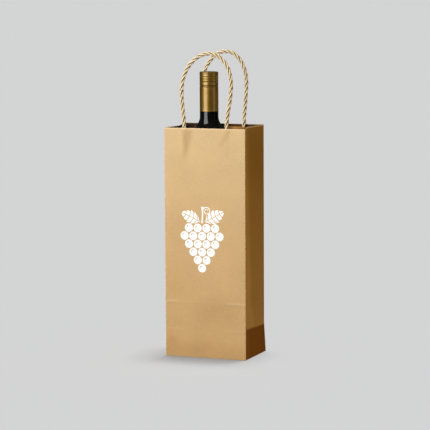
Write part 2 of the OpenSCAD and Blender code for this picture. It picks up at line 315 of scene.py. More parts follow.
def join(parts):
    """One set of points and faces from several."""
    points, faces, start = [], [], 0
    for some_points, some_faces in parts:
        points.append(some_points)
        faces += [tuple(start + i for i in f) for f in some_faces]
        start += len(some_points)
    return np.concatenate(points), faces


def soften(piece, width, segments=2):
    """Rounds the sharp edges of a piece."""
    bevel = piece.modifiers.new("rounding", "BEVEL")
    bevel.width = width
    bevel.segments = segments
    bevel.limit_method = "ANGLE"
    bevel.angle_limit = math.radians(40)


def smooth_step(t):
    """0 up to t = 0 and 1 from t = 1, with a smooth rise between."""
    t = min(1.0, max(0.0, t))
    return t * t * (3 - 2 * t)


def bump(t):
    """A bell of height 1 and half width about 1."""
    return math.exp(-t * t)


def waviness(x, z, seed, length):
    """A smooth random value from about -1 to 1 that changes over a length."""
    return noise.noise(Vector((x / length, z / length, seed)))


# ---- materials -------------------------------------------------------------------------

def material(name, roughness=0.8, metallic=0.0, specular=0.5):
    """A new principled material and the parts that its nodes are added to."""
    mat = bpy.data.materials.new(name)
    mat.use_nodes = True
    shader = mat.node_tree.nodes["Principled BSDF"]
    shader.inputs["Roughness"].default_value = roughness
    shader.inputs["Metallic"].default_value = metallic
    shader.inputs["Specular IOR Level"].default_value = specular
    return mat, mat.node_tree, shader


def coordinates(tree, stretch=(1, 1, 1)):
    """Positions on the object, stretched along its axes."""
    coords = tree.nodes.new("ShaderNodeTexCoord")
    mapping = tree.nodes.new("ShaderNodeMapping")
    mapping.inputs["Scale"].default_value = stretch
    tree.links.new(coords.outputs["Object"], mapping.inputs["Vector"])
    return mapping.outputs["Vector"]


def noise_value(tree, scale, detail=4, stretch=(1, 1, 1)):
    """Soft noise, with scale in cycles per metre."""
    node = tree.nodes.new("ShaderNodeTexNoise")
    node.inputs["Scale"].default_value = scale
    node.inputs["Detail"].default_value = detail
    tree.links.new(coordinates(tree, stretch), node.inputs["Vector"])
    return node.outputs["Fac"]


def attribute_value(tree, name):
    """A number that the mesh carries at each point."""
    node = tree.nodes.new("ShaderNodeAttribute")
    node.attribute_name = name
    return node.outputs["Fac"]


def position(tree, axis):
    """Place on the object along X (left to right) or Z (up), in metres."""
    split = tree.nodes.new("ShaderNodeSeparateXYZ")
    tree.links.new(coordinates(tree), split.inputs[0])
    return split.outputs[axis]


def map_range(tree, value, low, high, to_low=0.0, to_high=1.0):
    """The value carried from one range to another, and held at its ends."""
    node = tree.nodes.new("ShaderNodeMapRange")
    node.inputs["From Min"].default_value = low
    node.inputs["From Max"].default_value = high
    node.inputs["To Min"].default_value = to_low
    node.inputs["To Max"].default_value = to_high
    tree.links.new(value, node.inputs["Value"])
    return node.outputs["Result"]


def calculate(tree, operation, a, b):
    """One math step. a and b are sockets or numbers."""
    node = tree.nodes.new("ShaderNodeMath")
    node.operation = operation
    for socket, value in zip(node.inputs, (a, b)):
        if isinstance(value, (int, float)):
            socket.default_value = value
        else:
            tree.links.new(value, socket)
    return node.outputs[0]


def mix_colours(tree, factor, a, b, blend="MIX"):
    """a turned into b by factor. Colours are sockets or values."""
    node = tree.nodes.new("ShaderNodeMix")
    node.data_type = "RGBA"
    node.blend_type = blend
    sockets = [s for s in node.inputs if s.type == "RGBA"]
    factor_socket = next(s for s in node.inputs if s.type == "VALUE")
    for socket, value in ((factor_socket, factor), (sockets[0], a), (sockets[1], b)):
        if isinstance(value, (int, float, tuple)):
            socket.default_value = value
        else:
            tree.links.new(value, socket)
    return next(s for s in node.outputs if s.type == "RGBA")


def add_bump(tree, shader, height, strength, distance):
    node = tree.nodes.new("ShaderNodeBump")
    node.inputs["Strength"].default_value = strength
    node.inputs["Distance"].default_value = distance
    tree.links.new(height, node.inputs["Height"])
    tree.links.new(node.outputs["Normal"], shader.inputs["Normal"])


def paper_grain(tree):
    """Kraft fibres: fine speckle with short streaks in two directions."""
    speckle = noise_value(tree, 1500, 3)
    upright = noise_value(tree, 700, 4, (1, 1, 0.18))
    across = noise_value(tree, 600, 4, (0.2, 0.2, 1))
    streaks = calculate(tree, "ADD", upright, across)
    return calculate(tree, "MULTIPLY", calculate(tree, "ADD", streaks, speckle), 1 / 3)


def inner_tone_with_painted_shade(tree, colour):
    """The colour of the paper inside the bag, with painted shade: near the rim it is darkest at the bag's left,
    and darker at its right corner."""
    # Painted shade near the rim: very dark at the left, lighter towards the right, darker again at the right
    # corner.
    right = map_range(tree, position(tree, "X"), -30 * MM, 12 * MM)
    level = mix_colours(tree, right, (0.17, 0.13, 0.07, 1), (1, 1, 1, 1))
    corner = map_range(tree, position(tree, "X"), 17 * MM, 30 * MM)
    level = mix_colours(tree, corner, level, (0.46, 0.42, 0.32, 1))
    near_rim = map_range(tree, position(tree, "Z"), BAG_H - 60 * MM, BAG_H - 25 * MM)
    level = mix_colours(tree, near_rim, (1, 1, 1, 1), level)
    return mix_colours(tree, 1.0, colour, level, "MULTIPLY")


def kraft_material(name, top, bottom, side_top_painted_shade, side_bottom_painted_shade, inside):
    """Uncoated kraft paper. Its tone runs from the base to the rim, darker and more saturated towards the base as
    painted shade.
    Attributes change it: side for the gussets, whose colour is painted shade, darker and more saturated than the
    panels and darkest near the rim; inside for the back of the sheet, whose colour is darkened as painted shade;
    shade for painted shade in pressed and tucked places; and wear for rubbed folds and edges, partly real rubbing
    and partly painted highlight."""
    mat, tree, shader = material(name, roughness=0.78, specular=0.25)
    grain = paper_grain(tree)
    # Painted shade: the paper is darker and more saturated towards the base.
    height = map_range(tree, position(tree, "Z"), 0.0, BAG_H)
    colour = mix_colours(tree, height, bottom, top)
    # Painted shade: the gussets are darker and more saturated than the panels, most of all near the rim.
    side_painted_shade_height = map_range(tree, position(tree, "Z"), 0.3 * BAG_H, 0.85 * BAG_H)
    side = mix_colours(tree, side_painted_shade_height, side_bottom_painted_shade, side_top_painted_shade)
    colour = mix_colours(tree, attribute_value(tree, "side"), colour, side)
    # The inside of the sheet takes a darker colour, which is painted shade.
    colour = mix_colours(tree, attribute_value(tree, "inside"), colour, inner_tone_with_painted_shade(tree, inside))
    cloud = map_range(tree, noise_value(tree, 22, 3), 0.3, 0.7, -0.04, 0.04)
    fibre = map_range(tree, grain, 0.38, 0.62, -0.05, 0.05)
    tone = calculate(tree, "ADD", calculate(tree, "ADD", cloud, fibre), 1.0)
    level = tree.nodes.new("ShaderNodeCombineColor")
    for socket in level.inputs[:3]:
        tree.links.new(tone, socket)
    colour = mix_colours(tree, 1.0, colour, level.outputs[0], "MULTIPLY")
    # Painted shade: where the shade attribute is high the paper is multiplied towards a dark brown.
    colour = mix_colours(tree, attribute_value(tree, "shade"), colour, (0.42, 0.23, 0.0, 1), "MULTIPLY")
    dark_fibres = map_range(tree, noise_value(tree, 1100, 2, (0.35, 0.35, 1)), 0.68, 0.74)
    colour = mix_colours(tree, calculate(tree, "MULTIPLY", dark_fibres, 0.22), colour,
                         srgb(132, 92, 48))
    # Pale folds, creases and rim: partly real rubbing and partly painted highlight.
    wear_and_highlight = calculate(tree, "MULTIPLY", attribute_value(tree, "wear_and_highlight"), 0.9)
    colour = mix_colours(tree, wear_and_highlight, colour, srgb(236, 208, 166))
    tree.links.new(colour, shader.inputs["Base Color"])
    tree.links.new(map_range(tree, grain, 0.3, 0.7, 0.70, 0.88), shader.inputs["Roughness"])
    add_bump(tree, shader, grain, 0.25, 0.08 * MM)
    return mat


def plain_paper_material(name, colour, contrast=0.12, inner=False):
    """Paper or board with a fine fibre tone. Inner paper also takes the painted shade of the bag's inside."""
    mat, tree, shader = material(name, roughness=0.82, specular=0.25)
    grain = paper_grain(tree)
    dark = tuple(c * (1 - contrast) for c in colour[:3]) + (1,)
    light = tuple(min(1.0, c * (1 + contrast)) for c in colour[:3]) + (1,)
    tone = mix_colours(tree, map_range(tree, grain, 0.40, 0.60), dark, light)
    if inner:
        # Painted shade: inner paper is darkened near the rim like the bag's inside.
        tone = inner_tone_with_painted_shade(tree, tone)
    tree.links.new(tone, shader.inputs["Base Color"])
    add_bump(tree, shader, grain, 0.35, 0.15 * MM)
    return mat


def cord_material():
    """Twisted paper: pale strands, with a brown painted shade in the twist between them, read from a mesh
    attribute.
    """
    mat, tree, shader = material("twisted_paper", roughness=0.7, specular=0.3)
    fibre = noise_value(tree, 1800, 4, (1, 1, 0.25))
    blotch = noise_value(tree, 160, 3)
    pale, brown = srgb(240, 230, 198), srgb(206, 180, 136)
    colour = mix_colours(tree, map_range(tree, fibre, 0.35, 0.65), brown, pale)
    colour = mix_colours(tree, map_range(tree, blotch, 0.35, 0.7, 0.0, 0.35), colour,
                         srgb(206, 182, 138))
    # Painted shade: the twist between strands is darkened to brown.
    colour = mix_colours(tree, attribute_value(tree, "twist_painted_shade"), colour, srgb(92, 70, 32))
    tree.links.new(colour, shader.inputs["Base Color"])
    add_bump(tree, shader, fibre, 0.5, 0.2 * MM)
    return mat


def ink_material():
    """White screen print: nearly flat, with the paper's grain just showing."""
    mat, tree, shader = material("white_ink", roughness=0.6, specular=0.4)
    grain = paper_grain(tree)
    tone = map_range(tree, grain, 0.36, 0.48)
    tree.links.new(mix_colours(tree, tone, srgb(244, 243, 240), srgb(254, 255, 255)),
                   shader.inputs["Base Color"])
    add_bump(tree, shader, grain, 0.25, 0.08 * MM)
    return mat


def gold_material():
    """Satin lacquered aluminium, brushed round the cap, with faint rubs under the lacquer."""
    mat, tree, shader = material("gold_lacquer", metallic=1.0)
    shader.inputs["Coat Weight"].default_value = 1.0
    shader.inputs["Coat Roughness"].default_value = 0.22
    shader.inputs["Coat IOR"].default_value = 1.8
    brushed = noise_value(tree, 500, 3, (0.15, 0.15, 6))
    rub = noise_value(tree, 120, 4)
    colour = mix_colours(tree, map_range(tree, rub, 0.35, 0.7), (0.50, 0.30, 0.035, 1),
                         (0.56, 0.34, 0.045, 1))
    tree.links.new(colour, shader.inputs["Base Color"])
    tree.links.new(map_range(tree, brushed, 0.3, 0.7, 0.42, 0.50), shader.inputs["Roughness"])
    add_bump(tree, shader, brushed, 0.08, 0.05 * MM)
    return mat


def glass_material():
    """Bottle glass so dark that it looks black, with slow waves in its surface."""
    mat, tree, shader = material("dark_glass", roughness=0.09, specular=0.09)
    waves = noise_value(tree, 35, 2)
    colour = mix_colours(tree, map_range(tree, waves, 0.3, 0.7), (0.0005, 0.0006, 0.0005, 1),
                         (0.001, 0.0012, 0.001, 1))
    tree.links.new(colour, shader.inputs["Base Color"])
    add_bump(tree, shader, waves, 0.03, 0.2 * MM)
    return mat


def label_material():
    """A cream bottle label with a gold rule near its top and bottom."""
    mat, tree, shader = material("label", roughness=0.6)
    low, high = (corner.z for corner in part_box("bottle_front_label"))
    colour = mix_colours(tree, map_range(tree, paper_grain(tree), 0.4, 0.6),
                         srgb(232, 224, 205), srgb(247, 242, 228))
    z = position(tree, "Z")
    for rule in (low + 8 * MM, low + 11 * MM, high - 8 * MM):
        near = calculate(tree, "ABSOLUTE", calculate(tree, "SUBTRACT", z, rule), 0.0)
        line = calculate(tree, "LESS_THAN", near, 0.6 * MM)
        colour = mix_colours(tree, line, colour, srgb(176, 138, 70))
    tree.links.new(colour, shader.inputs["Base Color"])
    return mat


def wine_material():
    """Red wine, nearly black in bulk."""
    mat, tree, shader = material("wine", roughness=0.05)
    tone = map_range(tree, noise_value(tree, 30, 2), 0.3, 0.7)
    tree.links.new(mix_colours(tree, tone, (0.05, 0.002, 0.008, 1), (0.07, 0.004, 0.012, 1)),
                   shader.inputs["Base Color"])
    return mat


def liner_material():
    """White foam liner of the cap."""
    mat, tree, shader = material("liner", roughness=0.55)
    cells = noise_value(tree, 2500, 2)
    tree.links.new(mix_colours(tree, cells, srgb(225, 225, 220), srgb(245, 245, 242)),
                   shader.inputs["Base Color"])
    add_bump(tree, shader, cells, 0.2, 0.1 * MM)
    return mat


# The base-to-rim tone, the gusset colours and the inside colour below all hold painted shade.
KRAFT = kraft_material("kraft", top=srgb(207, 179, 134), bottom=srgb(204, 166, 112),
                       side_top_painted_shade=srgb(190, 151, 74), side_bottom_painted_shade=srgb(214, 176, 112),
                       inside=srgb(88, 56, 20))
# The patch paper inside the bag carries painted shade near the rim.
PATCH_PAPER = plain_paper_material("patch_paper", srgb(205, 152, 80), inner=True)
CARD = plain_paper_material("card", srgb(176, 142, 98), 0.16)
GREY_BOARD = plain_paper_material("grey_board", srgb(160, 150, 136), 0.16)
CORD = cord_material()
INK = ink_material()
GOLD = gold_material()
GLASS = glass_material()
LABEL = label_material()
WINE = wine_material()
LINER = liner_material()


def give(piece, mat):
    """Sets a piece's one material."""
    piece.data.materials.clear()
    piece.data.materials.append(mat)
    return piece


def give_cad(names, mat):
    """A better material for CAD nodes that stay."""
    for name in names:
        node = frame["nodes"][name]
        for slot in node.material_slots:
            slot.material = mat


# ---- bag -------------------------------------------------------------------------------

FOLD_R = 0.9 * MM                # radius of the four upright folds
FOOT_R = 0.3 * MM                # rounding of the wall's lower edge
MID_Y = -6 * MM                  # place of the fold down the middle of a gusset
MID_R = 6 * MM                   # softness of that fold
FLARE = 2.6 * MM                 # how far the lower back corners stand out
REAR_RISE = 1.2 * MM             # how much higher the rim is at the back
GUSSET_CREASE_RISE = 2.5 * MM    # how far the crease across a gusset lies above its flat part
# The pale cut edge at the rim is partly painted highlight.
RIM_EDGE = 0.8 * MM              # height of the cut edge at the rim that shows pale
LEFT_GUSSET_SHADE = 0.4          # share of the gussets' shade that the left one has
PANEL_SPANS = 64
GUSSET_SPANS = 44


def gusset_depth(z):
    """How far the middle of a gusset is folded in at height z."""
    if z <= CREASE_Z:
        return GUSSET_IN_LOW * smooth_step((z - GUSSET_FLAT_Z) / (CREASE_Z - GUSSET_FLAT_Z))
    return GUSSET_IN_LOW + (GUSSET_IN_TOP - GUSSET_IN_LOW) * (z - CREASE_Z) / (BAG_H - CREASE_Z)


def gusset_fold(y):
    """The soft V of a gusset from its front fold to its back fold: 0 at both, 1 at the middle."""
    away = y - MID_Y
    span = HALF_D - MID_Y if away > 0 else HALF_D + MID_Y
    return 1 - (math.hypot(away, MID_R) - MID_R) / (math.hypot(span, MID_R) - MID_R)


def gusset_crease_z(y):
    """Height of the crease across a gusset, a little higher at its front end."""
    return GUSSET_FLAT_Z + GUSSET_CREASE_RISE - 2 * MM * y / HALF_D


def crease_share(x, facing):
    """How marked the crease across a panel is at x: strongest near the edges."""
    right = smooth_step((x * -facing - 0.42 * HALF_W) / (0.2 * HALF_W))
    left = smooth_step((-x * -facing - 0.58 * HALF_W) / (0.2 * HALF_W))
    return 0.18 + 0.82 * max(right, left)


def panel_relief(x, z, facing):
    """How far the front (facing -1) or back (1) panel stands out of its plane."""
    edge = smooth_step((HALF_W - abs(x)) / (9 * MM))
    belly = 0.5 * MM * math.sin(math.pi * z / BAG_H) * (1 - (x / HALF_W) ** 2)
    waves = 0.35 * MM * waviness(x, z, 3 * facing, 75 * MM) + 0.10 * MM * waviness(
        x, z, 7 * facing, 24 * MM)
    crease = 0.30 * MM * crease_share(x, facing) * bump((z - CREASE_Z) / (2.6 * MM))
    hollow = -0.30 * MM * bump((z - CREASE_Z + 12 * MM) / (10 * MM))
    base_fold = 0.2 * MM * smooth_step(abs(x) / HALF_W - 0.2) * bump((z - GUSSET_FLAT_Z) / (2 * MM))
    corner_fold = 0.15 * MM * bump((HALF_W - abs(x) - GUSSET_FLAT_Z + z) / (2.5 * MM)) \
        if z < GUSSET_FLAT_Z else 0.0
    cords = sum(
        0.5 * MM * bump((x - side * LEG_X) / (4.5 * MM)) * smooth_step((z - CORD_END_Z) / (12 * MM))
        for side in (-1, 1)
    )
    patch_edge = 0.10 * MM * bump((z - CORD_END_Z) / (2.5 * MM)) * smooth_step(
        (48 * MM - abs(x)) / (6 * MM))
    flat = edge * (belly + waves + crease + hollow + base_fold + corner_fold)
    return max(flat + cords + patch_edge, -0.28 * MM)


def panel_shade(x, z, facing):
    """Painted shade on a panel: darker where the glued cord ends press, in the hollow under its crease, at its
    lower left corner and at its foot, with a random cloud of tone and a soft painted shade at its left.
    """
    x *= -facing
    down = BAG_H - z
    under_left = smooth_step((x + 39 * MM) / (9 * MM))
    under_left *= smooth_step((-13 * MM - 0.22 * down - x) / (11 * MM))
    under_left *= smooth_step((58 * MM - down) / (30 * MM)) * smooth_step(down / (5 * MM))
    under_right = bump((x - 40 * MM + 0.5 * down) / (4.5 * MM))
    under_right *= smooth_step((32 * MM - down) / (16 * MM)) * smooth_step(down / (4 * MM))
    hollow = bump((x - 5 * MM) / (30 * MM)) * bump((z - CREASE_Z + 17 * MM) / (13 * MM))
    corner = bump((x + 55 * MM) / (9 * MM)) * bump((z - 27 * MM) / (8 * MM))
    foot = smooth_step((32 * MM - z) / (20 * MM))
    # A random cloud of tone, plus a soft painted shade on the left of the panel.
    cloud = 0.07 * (0.5 + waviness(x, z, 40, 45 * MM))
    cloud += 0.06 * bump((x + 38 * MM) / (26 * MM)) * bump((z - 180 * MM) / (75 * MM))
    return 0.30 * under_left + 0.20 * under_right + 0.11 * hollow + 0.13 * corner + 0.12 * foot + cloud


def rim_share(z):
    """How much of the pale rim line, partly rubbed paper and partly painted highlight, there is at height z."""
    return smooth_step((z - BAG_H + 2.2 * MM) / (0.8 * MM))


def panel_wear_and_highlight(x, z, facing):
    """Pale lines on a panel, partly rubbed paper and partly painted highlight: its crease, the fold at the height
    of the base, and its rim.
    """
    crease = crease_share(x, facing) * bump((z - CREASE_Z) / (1.4 * MM))
    base_fold = 0.16 * smooth_step(abs(x) / HALF_W - 0.3) * bump((z - GUSSET_FLAT_Z) / (1.0 * MM))
    rim = 0.55 * rim_share(z)
    return max(0.27 * crease, base_fold, rim)


def gusset_relief(y, z, seed):
    """How far a gusset stands out of its folded shape."""
    edge = smooth_step((HALF_D - abs(y)) / (7 * MM))
    crease_z = gusset_crease_z(y)
    ridge = 0.7 * MM * bump((z - crease_z) / (3.0 * MM))
    tuck = -0.4 * MM * math.sin(math.pi * min(1.0, z / crease_z))
    diagonal = 0.25 * MM * bump((abs(y) - HALF_D + z) / (1.8 * MM)) if z < HALF_D else 0.0
    waves = 0.35 * MM * waviness(y, z, seed, 60 * MM)
    return edge * (ridge + tuck + waves + diagonal)


def gusset_shade(y, z):
    """Painted shade on a gusset: darker behind its fold and at the top of its rear part, and darkest where it is
    tucked under, below its crease.
    """
    below = smooth_step((gusset_crease_z(y) - z) / (5 * MM) + 0.5)
    tucked = 0.94 + 0.06 * smooth_step(y / HALF_D) - 0.10 * smooth_step((-y - 20 * MM) / (15 * MM))
    behind_fold = (0.18 + 0.06 * z / BAG_H) * smooth_step((y - MID_Y + 4 * MM) / (14 * MM))
    rear_top = 0.14 * smooth_step(y / (30 * MM)) * smooth_step((z / BAG_H - 0.6) / 0.3)
    return max(below * tucked, behind_fold + rear_top)


def foot_flare(z):
    """How far the back corners stand out at height z."""
    return FLARE * max(0.0, 1 - z / (GUSSET_FLAT_Z + 3 * MM))


def wall_rows():
    """Heights of the rows of the wall mesh, closer together at the creases and the rim."""
    rows = set(np.round(np.linspace(0.0, BAG_H, 118), 5))
    for crease in (CREASE_Z, GUSSET_FLAT_Z + GUSSET_CREASE_RISE):
        rows |= set(np.round(crease + np.arange(-5, 5.1, 0.8) * MM, 5))
    rows |= {round(v * MM, 5) for v in (0.1, 0.3, 0.6, 1.2)}
    rows |= {round(BAG_H - v * MM, 5) for v in (0.5, 1.0, 1.5, 2.2)}
    return sorted(rows)


def wall_row(z):
    """One turn round the wall at height z, from the front left. Each point has its x, y, its side (gusset colour
    with painted shade), its painted shade, and its wear with painted highlight."""
    flare = foot_flare(z)
    depth = gusset_depth(z)
    row = []

    def panel(facing):
        half = HALF_W - FOLD_R + (flare if facing > 0 else 0.0)
        for x in np.linspace(-half, half, PANEL_SPANS + 1) * -facing:
            y = facing * (HALF_D + panel_relief(x, z, facing))
            row.append((x, y, 0.0, panel_shade(x, z, facing), panel_wear_and_highlight(x, z, facing)))

    def gusset(side):
        half = HALF_D - FOLD_R
        for y in np.linspace(-half, half, GUSSET_SPANS + 1) * side:
            spread = flare * (y + HALF_D) / (2 * HALF_D)
            x = HALF_W - depth * gusset_fold(y) + spread + gusset_relief(y, z, 11 * side)
            shade = gusset_shade(y, z) * (1.0 if side > 0 else LEFT_GUSSET_SHADE)
            row.append((side * x, y, 1.0, shade, rim_share(z)))

    def fold(x, y, start):
        for turn in (22.5, 45, 67.5):
            a = math.radians(start + turn)
            # The pale line along each fold is partly rubbed paper and partly painted highlight.
            rub = 0.4 + 0.35 * waviness(x, z, 20, 12 * MM)
            row.append((x + FOLD_R * math.cos(a), y + FOLD_R * math.sin(a), 0.5, 0.0, rub))

    front_x, back_x, fold_y = HALF_W - FOLD_R, HALF_W - FOLD_R + flare, HALF_D - FOLD_R
    panel(-1)
    fold(front_x, -fold_y, -90)
    gusset(1)
    fold(back_x, fold_y, 0)
    panel(1)
    fold(-back_x, fold_y, 90)
    gusset(-1)
    fold(-front_x, -fold_y, 180)
    return row


def make_wall():
    """The bag's wall as one continuous sheet of paper, with its folds, creases and cut edges."""
    rows = wall_rows()
    table = np.array([wall_row(z) for z in rows])
    face = np.concatenate([table[:, :, :2], np.empty(table.shape[:2] + (1,))], axis=2)
    for r, z in enumerate(rows):
        face[r, :, 2] = z + REAR_RISE * (0.5 + table[r, :, 1] / (2 * HALF_D)) * (z / BAG_H) ** 6
        tuck = FOOT_R - math.sqrt(FOOT_R ** 2 - (FOOT_R - min(z, FOOT_R)) ** 2)
        face[r, :, :2] -= tuck * np.sign(face[r, :, :2])
    wall = add_mesh("bag_wall", *shell(face, behind(face, PAPER_T, closed=True), closed=True))
    side, shade, wear_and_highlight = (table[:, :, k].reshape(-1) for k in (2, 3, 4))
    plain = np.zeros(len(side))
    add_attribute(wall, "side", np.concatenate([side, plain]))
    add_attribute(wall, "shade", np.concatenate([shade, plain]).clip(0, 1))
    # The cut edge inside the rim shows pale, partly as painted highlight.
    rim = np.where(np.array(rows) > BAG_H - RIM_EDGE, 0.3, 0.0)
    rim = rim[:, None].repeat(table.shape[1], 1).reshape(-1)
    add_attribute(wall, "wear_and_highlight", np.concatenate([wear_and_highlight, rim]).clip(0, 1))
    add_attribute(wall, "inside", np.concatenate([plain, plain + 1]))
    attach(wall, "bag")
    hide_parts("front_panel", "back_panel", "left_gusset", "right_gusset")
    return give(wall, KRAFT)


make_wall()
give_cad(["side_seam_lap", "bottom_side_flaps", "bottom_rear_flap", "bottom_front_flap"], KRAFT)
give_cad(["front_handle_backing", "back_handle_backing"], PATCH_PAPER)


# ---- handle patches --------------------------------------------------------------------

def make_patch(facing):
    """The paper glued over the cord ends inside a panel, draped over both cords."""
    name = "front_handle_patch" if facing < 0 else "back_handle_patch"
    low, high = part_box(name)
    thickness = 0.35 * MM
    base = max(abs(low.y), abs(high.y)) - thickness
    rise = base - min(abs(low.y), abs(high.y))
    rows = []
    for z in np.linspace(low.z, high.z, 26):
        row = []
        for x in np.linspace(low.x, high.x, 121) * facing:
            over = 1 - smooth_step((abs(abs(x) - LEG_X) - CORD_R * 0.55) / (3.8 * MM))
            edge = smooth_step(min(z - low.z, high.z - z) / (5 * MM))
            wrinkle = 0.15 * MM * edge * waviness(x, z, 30, 9 * MM)
            row.append((x, facing * (base - rise * over - wrinkle), z))
        rows.append(row)
    face = np.array(rows)
    patch = add_mesh(name + "_sheet", *shell(face, behind(face, thickness)))
    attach(patch, "bag")
    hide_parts(name)
    return give(patch, PATCH_PAPER)


for facing in (-1, 1):
    make_patch(facing)


# ---- twisted paper handles -------------------------------------------------------------

PLIES = 3
PLY_R = 1.46 * MM
TWIST = 30 * MM                  # length of one full turn of the cord
RING_STEP = 0.8 * MM
PLY_SIDES = 16


def handle_line(facing, arch_x, lean, skew):
    """Centre line of a handle, from one glued end to the other."""
    root = PIVOT_Z - BAG_H

    def half_width(z):
        return LEG_X + (arch_x - LEG_X) * (1 - math.cos(math.pi * max(z, 0) / ARCH_START)) / 2

    glued = [(LEG_X, z) for z in np.arange(CORD_END_Z - BAG_H, root, 2 * MM)]
    leg = [(half_width(z), z) for z in np.linspace(root, ARCH_START, 30)[:-1]]
    arch = [
        (arch_x * math.cos(a), ARCH_START + (HANDLE_H - ARCH_START) * math.sin(a))
        for a in np.linspace(math.pi, 0, 90)
    ]
    left = [(-x, z) for x, z in glued + leg]
    right = list(reversed(glued + leg))
    line = []
    for x, z in left + arch + right:
        up = max(0.0, z - root) / HANDLE_H
        line.append((x + skew * up ** SKEW_POWER, facing * CORD_Y + lean * up, BAG_H + z))
    return even_line(np.array(line), RING_STEP)


def even_line(line, step):
    """The same line with its points one step apart."""
    gone = np.concatenate([[0], np.cumsum(np.linalg.norm(np.diff(line, axis=0), axis=1))])
    at = np.linspace(0, gone[-1], int(gone[-1] / step) + 1)
    return np.stack([np.interp(at, gone, line[:, k]) for k in range(3)], axis=1)


def cross_axes(line):
    """Two cross axes at each point of a line that lies near an XZ plane."""
    d = np.gradient(line, axis=0)
    d /= np.linalg.norm(d, axis=1)[:, None]
    y = np.array([0.0, 1.0, 0.0])
    v = y - (d @ y)[:, None] * d
    v /= np.linalg.norm(v, axis=1)[:, None]
    return np.cross(v, d), v


def ply_rings(line, ply):
    """Rings of one paper strand of the cord, creased and a little uneven, and how much painted shade each of their
    points takes for lying deep in the twist."""
    u, v = cross_axes(line)
    gone = np.arange(len(line)) * RING_STEP
    turn = 2 * math.pi * (ply / PLIES + gone / TWIST)
    out = np.cos(turn)[:, None] * u + np.sin(turn)[:, None] * v
    across = -np.sin(turn)[:, None] * u + np.cos(turn)[:, None] * v
    wobble = 1 + 0.05 * np.sin(gone / (6.1 * MM) + 2 * ply) + 0.03 * np.sin(gone / (2.3 * MM) + ply)
    centres = line + out * ((CORD_R - PLY_R) * wobble)[:, None]
    rings, twist_shade_amounts = [], []
    for a in np.arange(PLY_SIDES) * 2 * math.pi / PLY_SIDES:
        crease = 1 + 0.05 * math.cos(5 * a + 1.3 * ply) + 0.04 * np.sin(3 * a + gone / (3.1 * MM))
        rings.append(centres + (math.cos(a) * out + math.sin(a) * across) * (PLY_R * crease)[:, None])
        # Painted shade where a point of the strand faces into the twist.
        twist_shade_amounts.append(np.full(len(line), smooth_step((0.38 - math.cos(a)) / 0.8)))
    return np.stack(rings, axis=1), np.stack(twist_shade_amounts, axis=1)


def make_handle(body, facing, arch_x, lean, skew):
    """A cord of twisted paper strands that bends where it leaves the bag."""
    line = handle_line(facing, arch_x, lean, skew)
    parts, twist_painted_shade = [], []
    for ply in range(PLIES):
        rings, twist_shade_amounts = ply_rings(line, ply)
        count = len(line) * PLY_SIDES
        ends = [tuple(reversed(range(PLY_SIDES))), tuple(range(count - PLY_SIDES, count))]
        parts.append((rings.reshape(-1, 3), grid_faces(len(line), PLY_SIDES, closed=True) + ends))
        twist_painted_shade.append(twist_shade_amounts.reshape(-1))
    name = "front_twisted_handle" if facing < 0 else "back_twisted_handle"
    cord = add_mesh(name, *join(parts))
    add_attribute(cord, "twist_painted_shade", np.concatenate(twist_painted_shade))
    give(cord, CORD)
    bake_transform(cord)
    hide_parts(body + "_loop", body + "_ends")
    return cord


handles = [
    make_handle("front_handle", -1, arch_x=39.6 * MM, lean=2.4 * MM, skew=6.4 * MM),
    make_handle("back_handle", 1, arch_x=36.4 * MM, lean=6.0 * MM, skew=3.4 * MM),
]


# ---- print -----------------------------------------------------------------------------

INK_T = 0.12 * MM
PRINT_X = -4.5 * MM
PRINT_Z = 181 * MM
GRAPE_R = 6.6 * MM
GRAPE_PITCH = 14.1 * MM
GRAPE_ROWS = (4, 5, 4, 3, 2, 1)  # grapes in each row, from the top
TOP_ROW = 18 * MM                # height of the first row above the middle of the motif
LEAF_PANELS = 5                  # panels on each side of a leaf, between its veins
MIDRIB = 0.5 * MM                # half of the gap left open along the middle of a leaf


def ink_film(rows, closed=False):
    """A film of ink on the front panel, from rows of places measured from the middle of the motif."""
    face = np.array([
        [(PRINT_X + x, -HALF_D - panel_relief(PRINT_X + x, PRINT_Z + z, -1) - INK_T, PRINT_Z + z)
         for x, z in row] for row in rows
    ])
    return shell(face, face + (0, INK_T + 0.02 * MM, 0), closed)


def between(first, last, steps):
    """Rows of places from one line to another."""
    return [first + (last - first) * k / steps for k in range(steps + 1)]


def grape(x, z):
    """A round grape with a crescent left open near its upper left."""
    t = np.linspace(0, 2 * math.pi, 41)[:-1]
    tilt = math.radians(45)
    u = 0.36 * np.cos(t)
    w = 0.52 + 0.10 * np.sin(t) - 0.22 * np.cos(t) ** 2
    crescent = np.stack([u * math.cos(tilt) - w * math.sin(tilt), u * math.sin(tilt) + w * math.cos(tilt)], 1)
    edge = np.stack([np.cos(t + tilt), np.sin(t + tilt)], 1)
    centre = np.array([x, z])
    return ink_film(between(centre + edge * GRAPE_R, centre + crescent * GRAPE_R, 4), closed=True)


def leaf(x, z, angle, length, width):
    """A toothed leaf from its stalk at x, z, in panels with the veins left open between them."""
    turn = math.radians(angle)
    way, left = np.array([math.cos(turn), math.sin(turn)]), np.array([-math.sin(turn), math.cos(turn)])
    parts = []
    for side in (-1, 1):
        for panel in range(LEAF_PANELS):
            share = np.linspace(0, 1, 9)
            t = (panel + 0.06 + 0.86 * share) / LEAF_PANELS
            reach = width / 2 * np.sin(np.pi * t ** 0.85) ** 0.75 * (0.78 + 0.28 * share)
            ahead = t + 0.12 * (1 - t)
            stalk = np.array([x, z])
            inner = stalk + np.outer(t * length, way) + side * MIDRIB * left
            outer = stalk + np.outer(ahead * length, way) + np.outer(side * (reach + MIDRIB), left)
            rows = between(inner, outer, 4)
            parts.append(ink_film(rows if side > 0 else rows[::-1]))
    return join(parts)


